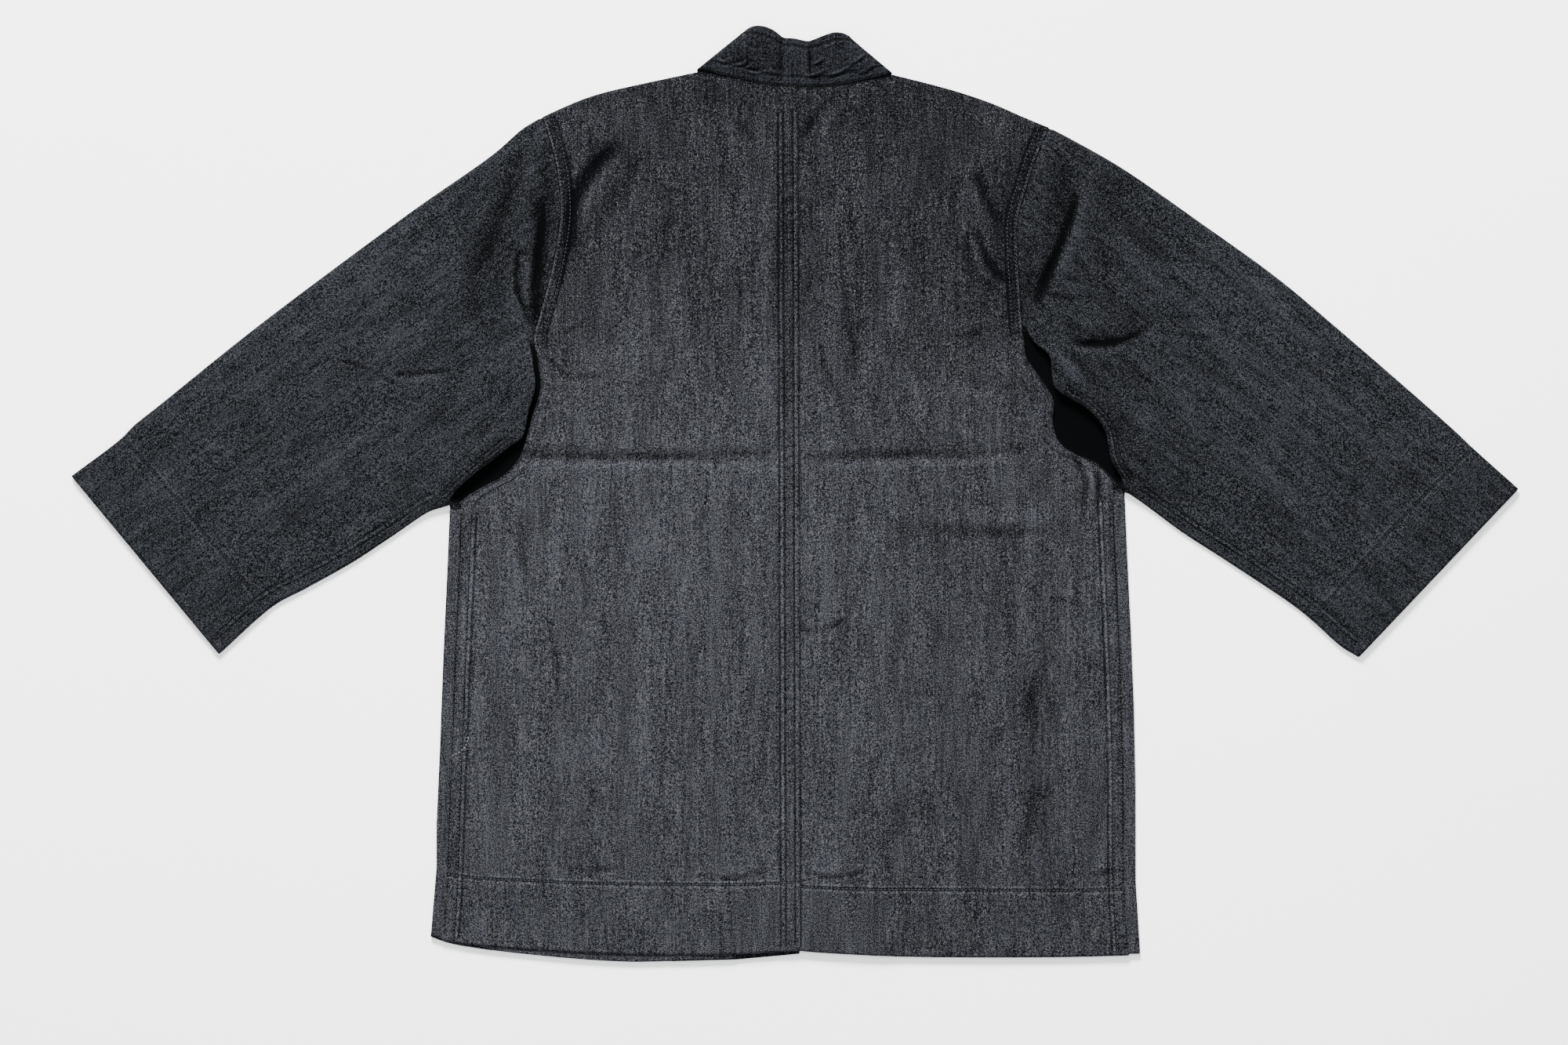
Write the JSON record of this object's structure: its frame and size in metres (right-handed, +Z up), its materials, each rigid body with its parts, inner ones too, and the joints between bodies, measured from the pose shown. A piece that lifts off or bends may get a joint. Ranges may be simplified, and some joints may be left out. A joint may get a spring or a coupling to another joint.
{
  "type": "denim haori jacket",
  "caption": "Open-front haori jacket in charcoal denim, laid flat face down with its back showing, wide straight sleeves spread out and a band collar standing at the neck.",
  "frame": {"origin": "under the middle of the laid-out jacket's outline, on the surface it lies on", "axes": "+Z up from the surface, through the fronts to the back panels; +Y towards the collar; +X towards the wearer's right sleeve, because the jacket lies face down"},
  "size_m": [1.2466, 0.8052, 0.0136],
  "materials": {
    "body_denim": "matt washed charcoal denim, fine twill",
    "sleeve_denim": "matt washed charcoal denim, fine twill",
    "collar_denim": "matt dark charcoal denim, folded double"
  },
  "bodies": {
    "root": {"front_left": "body_denim", "back_left": "body_denim", "sleeve_left": "sleeve_denim", "front_right": "body_denim", "back_right": "body_denim", "sleeve_right": "sleeve_denim", "collar_band": "collar_denim"}
  },
  "joints": []
}
